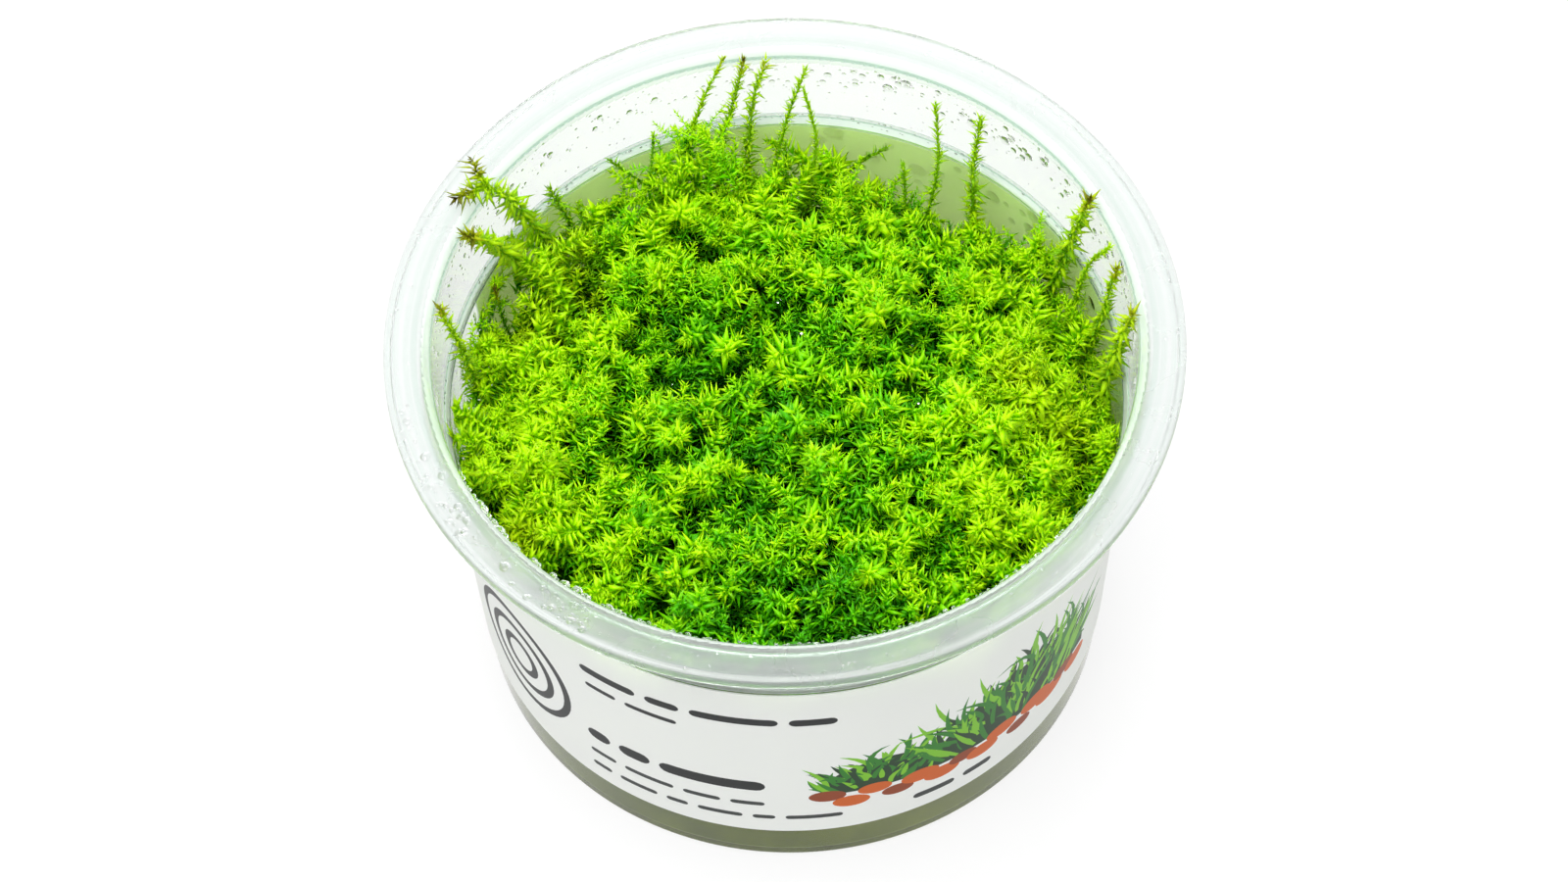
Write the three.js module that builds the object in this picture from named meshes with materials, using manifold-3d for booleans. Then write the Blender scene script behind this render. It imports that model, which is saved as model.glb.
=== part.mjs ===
// Tissue-cultured moss in its round clear cup, with the label round the wall and the gel at the bottom.
// Millimetres, +Z up. The origin is the centre of the base, on the surface that the cup stands on.
import * as THREE from 'three';
import { mergeVertices } from 'three/addons/utils/BufferGeometryUtils.js';
import Module from 'manifold-3d';

const wasm = await Module();
wasm.setup();

// Driving dimensions of the cup
const BRIM_RADIUS = 50;
const CUP_HEIGHT = 60;
const SEGMENTS = 48;
const FLOOR_THICKNESS = 0.8;
const RECESS_RADIUS = 30;
const RECESS_SLOPE = 1.5;
const FOOT_RADIUS = 40.7;
const BASE_RADIUS = 41;
const BASE_CORNER = 0.3;
const STEP_HEIGHT = 46;
const STEP_RADIUS = 43.35;
const UPPER_WALL_TOP = 57.6;
const WALL = 0.75;
const FLANGE_THICKNESS = 0.9;
const LIP_DROP = 1.7;

// Gap left between pieces that touch in the real thing
const GAP = 0.3;
// A ring of flat facets lies this much nearer the axis at the middle of each facet
const FACET_INSET = Math.cos(Math.PI / SEGMENTS);

// Driving dimensions of the label
const LABEL_THICKNESS = 0.2;
const LABEL_STANDOFF = 0.1;
const LABEL_BOTTOM = 7.6;
const LABEL_TOP = 45.6;
const LABEL_GAP_START = 157;
const LABEL_GAP_END = 185;

// Driving dimensions of the gel
const GEL_TOP = 12;
const MENISCUS = 0.6;

// Driving dimensions of the moss clump
const CLUMP_RINGS = 16;
const CLUMP_BOTTOM = GEL_TOP + MENISCUS + GAP;
const CLUMP_SIDE_TOP = 39.5;
const CLUMP_EDGE = 43;
const CLUMP_CROWN = 46.5;
const CLUMP_BACK_FALL = 4.5;
const TUFT_RISE = 2.6;
const TUFT_DIP = 1.4;
const TUFT_JITTER = 0.45;
const EDGE_TUFT_RISE = 1.5;

// Mounds and clefts in the top of the clump: place, height (a cleft's is negative) and spread
const RELIEF = [
  { x: 7.5, y: -11, height: 2.6, spread: 6 },
  { x: 8, y: -31, height: 2.4, spread: 6 },
  { x: -1, y: -26, height: 1.8, spread: 6 },
  { x: -34, y: -8, height: 2.2, spread: 6 },
  { x: 12, y: 9, height: 1.6, spread: 6 },
  { x: -3, y: 24, height: 2, spread: 8 },
  { x: 25, y: -2, height: 1.4, spread: 6 },
  { x: 29, y: -17, height: 1.8, spread: 6 },
  { x: -5, y: -6, height: -3.4, spread: 5 },
  { x: -17, y: 6, height: -2.6, spread: 4 },
  { x: 17, y: 3, height: -2.4, spread: 4 },
  { x: 29, y: 9, height: -2.2, spread: 4 },
  { x: -22, y: -11, height: -2.4, spread: 4 },
  { x: 41, y: 4, height: -6, spread: 6 },
  { x: 38, y: -12, height: -4, spread: 4 },
  { x: -41, y: 7, height: -5, spread: 6 },
  { x: 24, y: 32, height: -7, spread: 8 },
  { x: 13, y: 38, height: -4.5, spread: 5 },
  { x: 6, y: 36, height: 3, spread: 4 },
  { x: -9, y: 38, height: 6, spread: 6 },
  { x: -17, y: 35, height: 4, spread: 6 },
  { x: -31, y: 22, height: 5, spread: 6 },
];

// Driving dimensions of a long shoot
const STEM_RADIUS = 0.4;
const LEAF_REACH = 0.95;
const LEAF_PITCH = 2.8;
const SIDES = 6;
const SOCKET_RADIUS = STEM_RADIUS + 0.45;
const SHOOT_CLEARANCE = LEAF_REACH + 0.45;

// Long shoots that stand clear of the clump. A path starts at the root inside the clump,
// leaves it at the second point and ends at the tip. A fork starts on its path.
const LONG_SHOOTS = [
  { path: [[-12, 36.5, 37], [-12, 38, 43], [-10, 40, 54], [-6.5, 42, 62]] },
  { path: [[-8, 37.5, 37], [-8, 39.5, 44], [-5.5, 41, 54], [-4, 42, 61.5]] },
  { path: [[-4, 36.5, 37], [-4, 38.5, 43], [-3, 41, 54], [-1.2, 42, 61]] },
  { path: [[-1, 35.5, 37], [-0.5, 38, 42.5], [1.5, 40, 52], [4, 41.7, 59.5]] },
  { path: [[4, 32, 37], [4, 34, 43.5], [5, 35.7, 52], [3.5, 38, 60.5]] },
  { path: [[1, 33, 37], [1, 35, 43.5], [1, 36.5, 51]] },
  { path: [[-17.5, 27, 35], [-17.5, 29, 40], [-16.8, 32, 48], [-16, 36, 54]] },
  { path: [[-13, 33, 37], [-15, 34.5, 42], [-19, 34.2, 47.5], [-22, 33.8, 52]] },
  {
    path: [[-28, 25.5, 36], [-30, 26, 43], [-34.5, 23.7, 58], [-37.5, 23.2, 62.5], [-38.8, 25.7, 64]],
    fork: [[-36.6, 23.4, 61.4], [-39, 22, 62.3], [-41, 20.5, 62.8]],
  },
  { path: [[-30, 23, 36], [-32.5, 22.5, 43], [-36.5, 18, 56], [-39.5, 15, 62.5]] },
  { path: [[-34.5, 16.5, 33], [-36, 17, 38.5], [-37, 17.5, 47.5]] },
  { path: [[-38, 6.5, 35], [-39.5, 6.5, 41], [-41, 5.5, 52], [-43, 5, 61.5]] },
  { path: [[-25.5, 28, 37], [-27, 29, 43.5], [-29.5, 29.6, 51.5]] },
  { path: [[-23, 26, 36], [-24.5, 27, 41], [-26.2, 29.4, 48.5]] },
  { path: [[7, 36, 36], [9, 38, 41.5], [14.3, 37.9, 47]] },
  { path: [[16, 29.5, 33], [16.5, 31, 38], [16.3, 34.6, 47.5]] },
  { path: [[18.5, 29, 34], [19, 31, 39], [20.7, 33, 49], [20.5, 36.2, 58.5]] },
  { path: [[24, 27.5, 31], [25, 29.5, 36.5], [25.3, 31.5, 51], [26.2, 33.2, 59]] },
  { path: [[33.5, 18, 35], [35, 19, 41], [37.5, 18.5, 54], [39.2, 17.7, 62]] },
  { path: [[36, 15, 35], [37.5, 15.5, 41], [39, 14.5, 52], [41.4, 11.6, 60]] },
  { path: [[37.5, 9, 35], [39.5, 9.5, 41], [41.3, 9, 54], [42, 8.3, 60]] },
  { path: [[38.5, 1.5, 34], [40, 1.5, 40], [42, 1.5, 53], [43.3, 0.8, 60.5]] },
];

const cupMaterial = new THREE.MeshStandardMaterial({
  color: '#e8efeb', roughness: 0.12, metalness: 0, transparent: true, opacity: 0.4,
});
const labelMaterial = new THREE.MeshStandardMaterial({ color: '#eceeee', roughness: 0.45, metalness: 0 });
const gelMaterial = new THREE.MeshStandardMaterial({ color: '#98a46c', roughness: 0.25, metalness: 0 });
const mossMaterial = new THREE.MeshStandardMaterial({ color: '#5fae10', roughness: 0.7, metalness: 0 });
const shootMaterial = new THREE.MeshStandardMaterial({ color: '#6fa514', roughness: 0.7, metalness: 0 });

// Repeatable scatter between -1 and 1
function scatter(seed) {
  const wave = Math.sin(seed * 12.9898) * 43758.5453;
  return 2 * (wave - Math.floor(wave)) - 1;
}

// Cup wall's inner radius at a height below the step
function innerRadius(z) {
  const low = { z: FLOOR_THICKNESS + 0.5, r: BASE_RADIUS - 0.7 };
  const high = { z: STEP_HEIGHT + 0.4, r: STEP_RADIUS - WALL };
  return low.r + (high.r - low.r) * (z - low.z) / (high.z - low.z);
}

// Cup wall's outer radius at a height below the step
function outerRadius(z) {
  return BASE_RADIUS + (STEP_RADIUS - BASE_RADIUS) * (z - BASE_CORNER) / (STEP_HEIGHT - BASE_CORNER);
}

// Turns an outline of [radius, height] points, listed bottom to top on the outside, round the Z axis
function turned(outline) {
  const points = outline.map(([r, z]) => new THREE.Vector2(r, z));
  return new THREE.LatheGeometry(points, SEGMENTS).rotateX(Math.PI / 2);
}

function toSolid(geometry) {
  const bare = geometry.clone();
  bare.deleteAttribute('normal');
  bare.deleteAttribute('uv');
  const merged = mergeVertices(bare);
  return new wasm.Manifold(new wasm.Mesh({
    numProp: 3,
    vertProperties: new Float32Array(merged.attributes.position.array),
    triVerts: new Uint32Array(merged.index.array),
  }));
}

function toGeometry(solid) {
  const mesh = solid.getMesh();
  return indexed(Array.from(mesh.vertProperties), Array.from(mesh.triVerts));
}

function indexed(positions, triangles) {
  const geometry = new THREE.BufferGeometry();
  geometry.setAttribute('position', new THREE.Float32BufferAttribute(positions, 3));
  geometry.setIndex(triangles);
  geometry.computeVertexNormals();
  return geometry;
}

// Cup: recessed base in a flat foot ring, drafted wall, step, upper wall, rounded shoulder and flange
function cupGeometry() {
  const flangeUnder = CUP_HEIGHT - FLANGE_THICKNESS;
  const upperInner = STEP_RADIUS;
  return turned([
    [0, FLOOR_THICKNESS],
    [RECESS_RADIUS, FLOOR_THICKNESS],
    [RECESS_RADIUS + RECESS_SLOPE, 0],
    [FOOT_RADIUS, 0],
    [BASE_RADIUS, BASE_CORNER],
    [STEP_RADIUS, STEP_HEIGHT],
    [upperInner + WALL, STEP_HEIGHT + 1],
    [upperInner + 2 * WALL, UPPER_WALL_TOP],
    [BRIM_RADIUS - 4.6, flangeUnder - 0.4],
    [BRIM_RADIUS - 3.8, flangeUnder],
    [BRIM_RADIUS - 1.1, flangeUnder],
    [BRIM_RADIUS - 0.8, CUP_HEIGHT - LIP_DROP],
    [BRIM_RADIUS, CUP_HEIGHT - LIP_DROP],
    [BRIM_RADIUS, CUP_HEIGHT - 0.4],
    [BRIM_RADIUS - 0.3, CUP_HEIGHT],
    [BRIM_RADIUS - 4.3, CUP_HEIGHT],
    [BRIM_RADIUS - 5, CUP_HEIGHT - 0.15],
    [BRIM_RADIUS - 5.5, CUP_HEIGHT - 0.6],
    [BRIM_RADIUS - 5.8, CUP_HEIGHT - 1.3],
    [upperInner + WALL, UPPER_WALL_TOP + 0.4],
    [upperInner, STEP_HEIGHT + 1.3],
    [STEP_RADIUS - WALL, STEP_HEIGHT + 0.4],
    [BASE_RADIUS - 0.7, FLOOR_THICKNESS + 0.5],
    [BASE_RADIUS - 1.2, FLOOR_THICKNESS],
    [RECESS_RADIUS + 0.8 + RECESS_SLOPE, FLOOR_THICKNESS],
    [RECESS_RADIUS + 0.8, 2 * FLOOR_THICKNESS],
    [0, 2 * FLOOR_THICKNESS],
  ]);
}

// Label: a thin band round the lower wall, open over a wedge at the back left
function labelGeometry() {
  const inside = (z) => outerRadius(z) + LABEL_STANDOFF;
  const band = turned([
    [inside(LABEL_BOTTOM), LABEL_BOTTOM],
    [inside(LABEL_BOTTOM) + LABEL_THICKNESS, LABEL_BOTTOM],
    [inside(LABEL_TOP) + LABEL_THICKNESS, LABEL_TOP],
    [inside(LABEL_TOP), LABEL_TOP],
    [inside(LABEL_BOTTOM), LABEL_BOTTOM],
  ]);
  const wedge = new THREE.Shape();
  wedge.moveTo(0, 0);
  for (const degrees of [LABEL_GAP_START, LABEL_GAP_END]) {
    const angle = THREE.MathUtils.degToRad(degrees);
    wedge.lineTo(2 * BRIM_RADIUS * Math.cos(angle), 2 * BRIM_RADIUS * Math.sin(angle));
  }
  wedge.closePath();
  const cutter = new THREE.ExtrudeGeometry(wedge, { depth: CUP_HEIGHT, bevelEnabled: false });
  return toGeometry(toSolid(band).subtract(toSolid(cutter)));
}

// Gel: fills the bottom of the cup, down over the raised middle, and creeps up the wall a little
function gelGeometry() {
  const side = (z) => innerRadius(z) - GAP;
  const bottom = FLOOR_THICKNESS + GAP;
  return turned([
    [0, bottom + FLOOR_THICKNESS],
    [RECESS_RADIUS + 1, bottom + FLOOR_THICKNESS],
    [RECESS_RADIUS + 1 + RECESS_SLOPE, bottom],
    [side(bottom) - 0.6, bottom],
    [side(bottom + 0.6), bottom + 0.6],
    [side(GEL_TOP + MENISCUS), GEL_TOP + MENISCUS],
    [side(GEL_TOP) - 1.2, GEL_TOP],
    [0, GEL_TOP],
  ]);
}

// Rise of the clump's top at a place, from its mounds and clefts
function reliefAt(x, y) {
  let rise = 0;
  for (const bump of RELIEF) {
    const distance = Math.hypot(x - bump.x, y - bump.y) / bump.spread;
    rise += bump.height * Math.exp(-distance * distance);
  }
  return rise;
}

// Fall of the clump towards the far wall
function backFall(y, radius) {
  return CLUMP_BACK_FALL * Math.max(0, y / radius) ** 3;
}

// Height of the clump's top before its tufts
function clumpHeight(x, y, radius) {
  const outward = Math.hypot(x, y) / radius;
  const dome = CLUMP_CROWN - (CLUMP_CROWN - CLUMP_EDGE) * outward ** 2.5;
  return dome - backFall(y, radius) + reliefAt(x, y);
}

// Height at which the clump's side ends and its top begins
function sideTop(x, y, radius) {
  return CLUMP_SIDE_TOP - backFall(y, radius) + reliefAt(x, y);
}

// Clump: a cushion of tufts on a triangular lattice, with straight sides that follow the cup wall
function clumpGeometry() {
  const limit = (z) => innerRadius(z) * FACET_INSET - GAP - 0.1;
  const topRadius = limit(CLUMP_SIDE_TOP);
  const steps = [[1, 0], [0, 1], [-1, 1], [-1, 0], [0, -1], [1, -1]];
  const positions = [0, 0, clumpHeight(0, 0, topRadius) + TUFT_RISE];
  const triangles = [];
  const firstOf = (ring) => (ring === 0 ? 0 : 1 + 3 * ring * (ring - 1));
  const vertex = (ring, place) => firstOf(ring) + (ring === 0 ? 0 : place % (6 * ring));

  for (let ring = 1; ring <= CLUMP_RINGS; ring += 1) {
    for (let place = 0; place < 6 * ring; place += 1) {
      const side = Math.floor(place / ring);
      const along = place % ring;
      const turn = (side + 2) % 6;
      const q = steps[side][0] * ring + steps[turn][0] * along;
      const r = steps[side][1] * ring + steps[turn][1] * along;
      const isTuft = (q - r) % 3 === 0;
      const seed = vertex(ring, place);
      const angle = (2 * Math.PI * place) / (6 * ring);
      const reach = (topRadius * ring) / CLUMP_RINGS;
      let x = reach * Math.cos(angle);
      let y = reach * Math.sin(angle);
      let z;
      if (ring === CLUMP_RINGS) {
        z = sideTop(x, y, topRadius) + (isTuft ? EDGE_TUFT_RISE : 0) + 0.6 * scatter(seed);
        x = limit(z) * Math.cos(angle);
        y = limit(z) * Math.sin(angle);
      } else {
        x += TUFT_JITTER * scatter(seed);
        y += TUFT_JITTER * scatter(seed + 0.5);
        const tuft = isTuft ? TUFT_RISE + 0.8 * scatter(seed + 0.25) : -TUFT_DIP + 0.4 * scatter(seed + 0.25);
        z = clumpHeight(x, y, topRadius) + tuft;
      }
      positions.push(x, y, z);
    }
  }

  for (let ring = 1; ring <= CLUMP_RINGS; ring += 1) {
    for (let side = 0; side < 6; side += 1) {
      for (let along = 0; along < ring; along += 1) {
        const outer = side * ring + along;
        const inner = side * (ring - 1) + along;
        triangles.push(vertex(ring, outer), vertex(ring, outer + 1), vertex(ring - 1, inner));
        if (along < ring - 1) {
          triangles.push(vertex(ring, outer + 1), vertex(ring - 1, inner + 1), vertex(ring - 1, inner));
        }
      }
    }
  }

  const rim = 6 * CLUMP_RINGS;
  const lowerRings = [
    { z: CLUMP_BOTTOM + 1, r: limit(CLUMP_BOTTOM + 1) },
    { z: CLUMP_BOTTOM, r: limit(CLUMP_BOTTOM) - 1.2 },
  ];
  let above = firstOf(CLUMP_RINGS);
  for (const lower of lowerRings) {
    const below = positions.length / 3;
    for (let place = 0; place < rim; place += 1) {
      const angle = (2 * Math.PI * place) / rim;
      const next = (place + 1) % rim;
      positions.push(lower.r * Math.cos(angle), lower.r * Math.sin(angle), lower.z);
      triangles.push(below + place, below + next, above + next);
      triangles.push(below + place, above + next, above + place);
    }
    above = below;
  }
  const centre = positions.length / 3;
  positions.push(0, 0, CLUMP_BOTTOM);
  for (let place = 0; place < rim; place += 1) {
    triangles.push(centre, above + (place + 1) % rim, above + place);
  }
  return indexed(positions, triangles);
}

// Skins a row of six-sided rings along a curve. Each ring gives its distance along the curve
// and the radius of its even and odd corners.
function ringedGeometry(curve, rings) {
  const length = curve.getLength();
  const positions = [];
  const triangles = [];
  const frames = curve.computeFrenetFrames(60, false);
  rings.forEach((ring, index) => {
    const t = Math.min(ring.at / length, 1);
    const centre = curve.getPointAt(t);
    const frame = Math.round(t * 60);
    for (let side = 0; side < SIDES; side += 1) {
      const angle = (2 * Math.PI * side) / SIDES;
      const radius = side % 2 === 0 ? ring.even : ring.odd;
      const corner = centre.clone()
        .addScaledVector(frames.normals[frame], radius * Math.cos(angle))
        .addScaledVector(frames.binormals[frame], radius * Math.sin(angle));
      positions.push(corner.x, corner.y, corner.z);
      const next = (side + 1) % SIDES;
      if (index > 0) {
        const below = (index - 1) * SIDES;
        const above = index * SIDES;
        triangles.push(below + side, below + next, above + next);
        triangles.push(below + side, above + next, above + side);
      }
    }
  });
  const top = (rings.length - 1) * SIDES;
  for (let side = 1; side < SIDES - 1; side += 1) {
    triangles.push(0, side + 1, side);
    triangles.push(top, top + side, top + side + 1);
  }
  return indexed(positions, triangles);
}

function curveThrough(path) {
  return new THREE.CatmullRomCurve3(path.map((point) => new THREE.Vector3(...point)));
}

// Where along its curve a shoot leaves the clump
function exitDistance(path) {
  return new THREE.Vector3(...path[0]).distanceTo(new THREE.Vector3(...path[1]));
}

// Shoot: a plain stem in the clump, then whorls of three leaves that point up, ending in a fine tip
function shootGeometry(path, buried) {
  const curve = curveThrough(path);
  const length = curve.getLength();
  const whorls = Math.max(2, Math.round((length - buried) / LEAF_PITCH));
  const pitch = (length - buried) / whorls;
  const rings = [{ at: 0, even: STEM_RADIUS, odd: STEM_RADIUS }];
  for (let whorl = 0; whorl < whorls; whorl += 1) {
    const start = buried + whorl * pitch;
    const thinning = 1 - 0.4 * (whorl / whorls);
    const stem = STEM_RADIUS * thinning;
    const leaf = LEAF_REACH * thinning;
    const isEven = whorl % 2 === 0;
    rings.push({ at: start + 0.01, even: stem, odd: stem });
    rings.push({ at: start + 0.8 * pitch, even: isEven ? leaf : stem, odd: isEven ? stem : leaf });
  }
  rings.push({ at: length, even: 0.12, odd: 0.12 });
  return ringedGeometry(curve, rings);
}

// Room for a shoot: a socket where it is rooted, wider where its leaves are
function shootRoom(path) {
  const curve = curveThrough(path);
  const length = curve.getLength();
  const buried = exitDistance(path);
  return ringedGeometry(curve, [
    { at: 0, even: SOCKET_RADIUS, odd: SOCKET_RADIUS },
    { at: buried, even: SOCKET_RADIUS, odd: SOCKET_RADIUS },
    { at: buried + 0.6, even: SHOOT_CLEARANCE, odd: SHOOT_CLEARANCE },
    { at: length, even: SHOOT_CLEARANCE, odd: SHOOT_CLEARANCE },
  ]);
}

// Starts a socket a gap below the root, so that the shoot's end face stays clear
function deepened(path) {
  const root = new THREE.Vector3(...path[0]);
  const down = root.clone().sub(new THREE.Vector3(...path[1])).normalize();
  return [root.addScaledVector(down, GAP).toArray(), ...path.slice(1)];
}

function sub(name, geometry, material) {
  const mesh = new THREE.Mesh(geometry, material);
  mesh.name = name;
  return mesh;
}

const part = new THREE.Group();
part.add(sub('cup', cupGeometry(), cupMaterial));
part.add(sub('label', labelGeometry(), labelMaterial));
part.add(sub('gel', gelGeometry(), gelMaterial));

let clump = toSolid(clumpGeometry());
LONG_SHOOTS.forEach(({ path, fork }, index) => {
  clump = clump.subtract(toSolid(shootRoom(deepened(path))));
  let geometry = shootGeometry(path, exitDistance(path));
  if (fork) {
    geometry = toGeometry(toSolid(geometry).add(toSolid(shootGeometry(fork, 0.5))));
  }
  const name = `shoot_${String(index + 1).padStart(2, '0')}`;
  part.add(sub(name, geometry, shootMaterial));
});
part.add(sub('moss_clump', toGeometry(clump), mossMaterial));

export default part;
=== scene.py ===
"""Looks of a tissue-cultured stringy moss in its clear cup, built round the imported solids."""

import math

import bmesh
import bpy
import numpy as np
from mathutils import Matrix, Vector
from mathutils.geometry import delaunay_2d_cdt


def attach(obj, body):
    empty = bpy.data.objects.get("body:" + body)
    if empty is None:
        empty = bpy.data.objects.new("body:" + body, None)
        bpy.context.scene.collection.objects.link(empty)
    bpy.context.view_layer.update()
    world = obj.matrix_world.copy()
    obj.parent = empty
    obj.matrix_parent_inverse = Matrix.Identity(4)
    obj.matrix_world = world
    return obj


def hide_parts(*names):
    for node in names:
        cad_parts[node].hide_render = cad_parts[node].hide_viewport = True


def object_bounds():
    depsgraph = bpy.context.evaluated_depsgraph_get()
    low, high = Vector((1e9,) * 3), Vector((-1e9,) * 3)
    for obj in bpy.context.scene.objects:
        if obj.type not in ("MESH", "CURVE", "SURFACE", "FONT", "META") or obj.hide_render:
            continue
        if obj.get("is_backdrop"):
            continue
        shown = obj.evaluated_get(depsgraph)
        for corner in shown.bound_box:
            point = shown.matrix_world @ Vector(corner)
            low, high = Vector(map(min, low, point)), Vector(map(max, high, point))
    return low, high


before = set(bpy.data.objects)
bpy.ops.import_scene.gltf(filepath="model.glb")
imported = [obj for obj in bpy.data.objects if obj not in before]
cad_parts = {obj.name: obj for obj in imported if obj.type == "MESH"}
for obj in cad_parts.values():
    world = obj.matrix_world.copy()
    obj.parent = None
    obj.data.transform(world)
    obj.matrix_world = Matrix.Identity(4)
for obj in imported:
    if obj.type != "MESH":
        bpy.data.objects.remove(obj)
solid_low, solid_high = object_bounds()

# Sizes in millimetres, the same as the solids have. Height 0 is the surface that the cup stands on.
MM = 0.001
BASE_RADIUS = 41
BASE_CORNER = 0.3
STEP_HEIGHT = 46
STEP_RADIUS = 43.35
LABEL_THICKNESS = 0.2
LABEL_STANDOFF = 0.1
LABEL_BOTTOM = 7.6
LABEL_TOP = 45.6
LABEL_GAP_START = 157
LABEL_GAP_END = 185
GEL_TOP = 12
BRIM_TOP = 60
CLUMP_RADIUS = 41.6
CLUMP_BOTTOM = 12.9
CLUMP_EDGE = 43
CLUMP_CROWN = 46.5
CLUMP_BACK_FALL = 4.5

# The cup's outline as radius and height, out along its underside and back along its inside.
CUP_OUTLINE = [
    (0, 0.8), (30, 0.8), (31.5, 0), (40.7, 0), (41, 0.3), (43.35, 46),
    (44.1, 47), (44.85, 57.6), (45.4, 58.7), (46.2, 59.1), (48.9, 59.1), (49.2, 58.3),
    (50, 58.3), (50, 59.6), (49.7, 60), (45.7, 60), (45, 59.85), (44.5, 59.4),
    (44.2, 58.7), (44.1, 58), (43.35, 47.3), (42.6, 46.4), (40.3, 1.3), (39.8, 0.8),
    (32.3, 0.8), (30.8, 1.6), (0, 1.6),
]

# Rises and hollows of the moss as x, y, height and spread.
RELIEF = [
    (7.5, -11, 2.6, 6), (8, -31, 2.4, 6), (-1, -26, 1.8, 6), (-34, -8, 2.2, 6),
    (12, 9, 1.6, 6), (-3, 24, 2, 8), (25, -2, 1.4, 6), (29, -17, 1.8, 6),
    (-5, -6, -3.4, 5), (-17, 6, -2.6, 4), (17, 3, -2.4, 4), (29, 9, -2.2, 4),
    (-22, -11, -2.4, 4), (41, 4, -6, 6), (38, -12, -4, 4), (-41, 7, -5, 6),
    (24, 32, -7, 8), (13, 38, -4.5, 5), (6, 36, 3, 4), (-9, 38, 6, 6),
    (-17, 35, 4, 6), (-31, 22, 5, 6),
]

# Places where the moss is yellow, then olive, as x, y, spread and strength.
OLIVE_PATCHES = [
    (-26, 18, 3.5, 0.26), (-32, 14, 5, 0.24), (-27, 24, 4, 0.24), (30, 0, 5, 0.2), (-35, -20, 5, 0.2),
    (36, -6, 3, 0.24), (3, 34, 3, 0.12),
]

# Long shoots as the points that the solids' stems pass through, root first.
LONG_SHOOTS = {
    "01": [(-12, 36.5, 37), (-12, 38, 43), (-10, 40, 54), (-6.5, 42, 62)],
    "02": [(-8, 37.5, 37), (-8, 39.5, 44), (-5.5, 41, 54), (-4, 42, 61.5)],
    "03": [(-4, 36.5, 37), (-4, 38.5, 43), (-3, 41, 54), (-1.2, 42, 61)],
    "04": [(-1, 35.5, 37), (-0.5, 38, 42.5), (1.5, 40, 52), (4, 41.7, 59.5)],
    "05": [(4, 32, 37), (4, 34, 43.5), (5, 35.7, 52), (3.5, 38, 60.5)],
    "06": [(1, 33, 37), (1, 35, 43.5), (1, 36.5, 51)],
    "07": [(-17.5, 27, 35), (-17.5, 29, 40), (-16.8, 32, 48), (-16, 36, 54)],
    "08": [(-13, 33, 37), (-15, 34.5, 42), (-19, 34.2, 47.5), (-22, 33.8, 52)],
    "09": [(-28, 25.5, 36), (-30, 26, 43), (-34.5, 23.7, 58), (-37.5, 23.2, 62.5), (-38.8, 25.7, 64)],
    "10": [(-30, 23, 36), (-32.5, 22.5, 43), (-36.5, 18, 56), (-39.5, 15, 62.5)],
    "11": [(-34.5, 16.5, 33), (-36, 17, 38.5), (-37, 17.5, 47.5)],
    "12": [(-38, 6.5, 35), (-39.5, 6.5, 41), (-41, 5.5, 52), (-43, 5, 61.5)],
    "13": [(-25.5, 28, 37), (-27, 29, 43.5), (-29.5, 29.6, 51.5)],
    "14": [(-23, 26, 36), (-24.5, 27, 41), (-26.2, 29.4, 48.5)],
    "15": [(7, 36, 36), (9, 38, 41.5), (14.3, 37.9, 47)],
    "16": [(16, 29.5, 33), (16.5, 31, 38), (16.3, 34.6, 47.5)],
    "17": [(18.5, 29, 34), (19, 31, 39), (20.7, 33, 49), (20.5, 36.2, 58.5)],
    "18": [(24, 27.5, 31), (25, 29.5, 36.5), (25.3, 31.5, 51), (26.2, 33.2, 59)],
    "19": [(33.5, 18, 35), (35, 19, 41), (37.5, 18.5, 54), (39.2, 17.7, 62)],
    "20": [(36, 15, 35), (37.5, 15.5, 41), (39, 14.5, 52), (41.4, 11.6, 60)],
    "21": [(37.5, 9, 35), (39.5, 9.5, 41), (41.3, 9, 54), (42, 8.3, 60)],
    "22": [(38.5, 1.5, 34), (40, 1.5, 40), (42, 1.5, 53), (43.3, 0.8, 60.5)],
}
FORKS = {"09": [(-36.6, 23.4, 61.4), (-39, 22, 62.3), (-41, 20.5, 62.8)]}

GOLDEN_ANGLE = math.radians(137.508)
UP = np.array([0, 0, 1.0])


# Small helpers
def srgb(red, green, blue):
    """A colour given as screen values from 0 to 255, as the shaders take it."""
    return tuple(
        x / 12.92 if x <= 0.04045 else ((x + 0.055) / 1.055) ** 2.4
        for x in (red / 255, green / 255, blue / 255)
    ) + (1.0,)


def grey(level):
    return (level,) * 3 + (1,)


def unit(vectors):
    return vectors / np.linalg.norm(vectors, axis=-1, keepdims=True)


def level_way(angle):
    """Level directions off the cup's axis, one for each angle."""
    return np.stack([np.cos(angle), np.sin(angle), np.zeros_like(angle)], 1)


def turned(angle, first, second):
    """Directions at an angle from the first direction towards the second."""
    return np.cos(angle)[..., None] * first + np.sin(angle)[..., None] * second


def scattered(rng, count, reach):
    """Places spread at random over a disc round the cup's axis."""
    radius = reach * np.sqrt(rng.random(count))
    angle = rng.uniform(0, 2 * math.pi, count)
    return radius * np.cos(angle), radius * np.sin(angle)


def mostly_small(rng, sizes, power, count):
    """Random sizes between the two given. The higher the power, the more of them are near the first."""
    return sizes[0] + (sizes[1] - sizes[0]) * rng.random(count) ** power


def blend_step(low, high, x):
    share = np.clip((x - low) / (high - low), 0, 1)
    return share * share * (3 - 2 * share)


def inner_radius(height):
    """The radius of the cup's inside at a height."""
    return np.interp(height, [1.3, 46.4, 47.3, 58], [40.3, 42.6, 43.35, 44.1])


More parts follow.
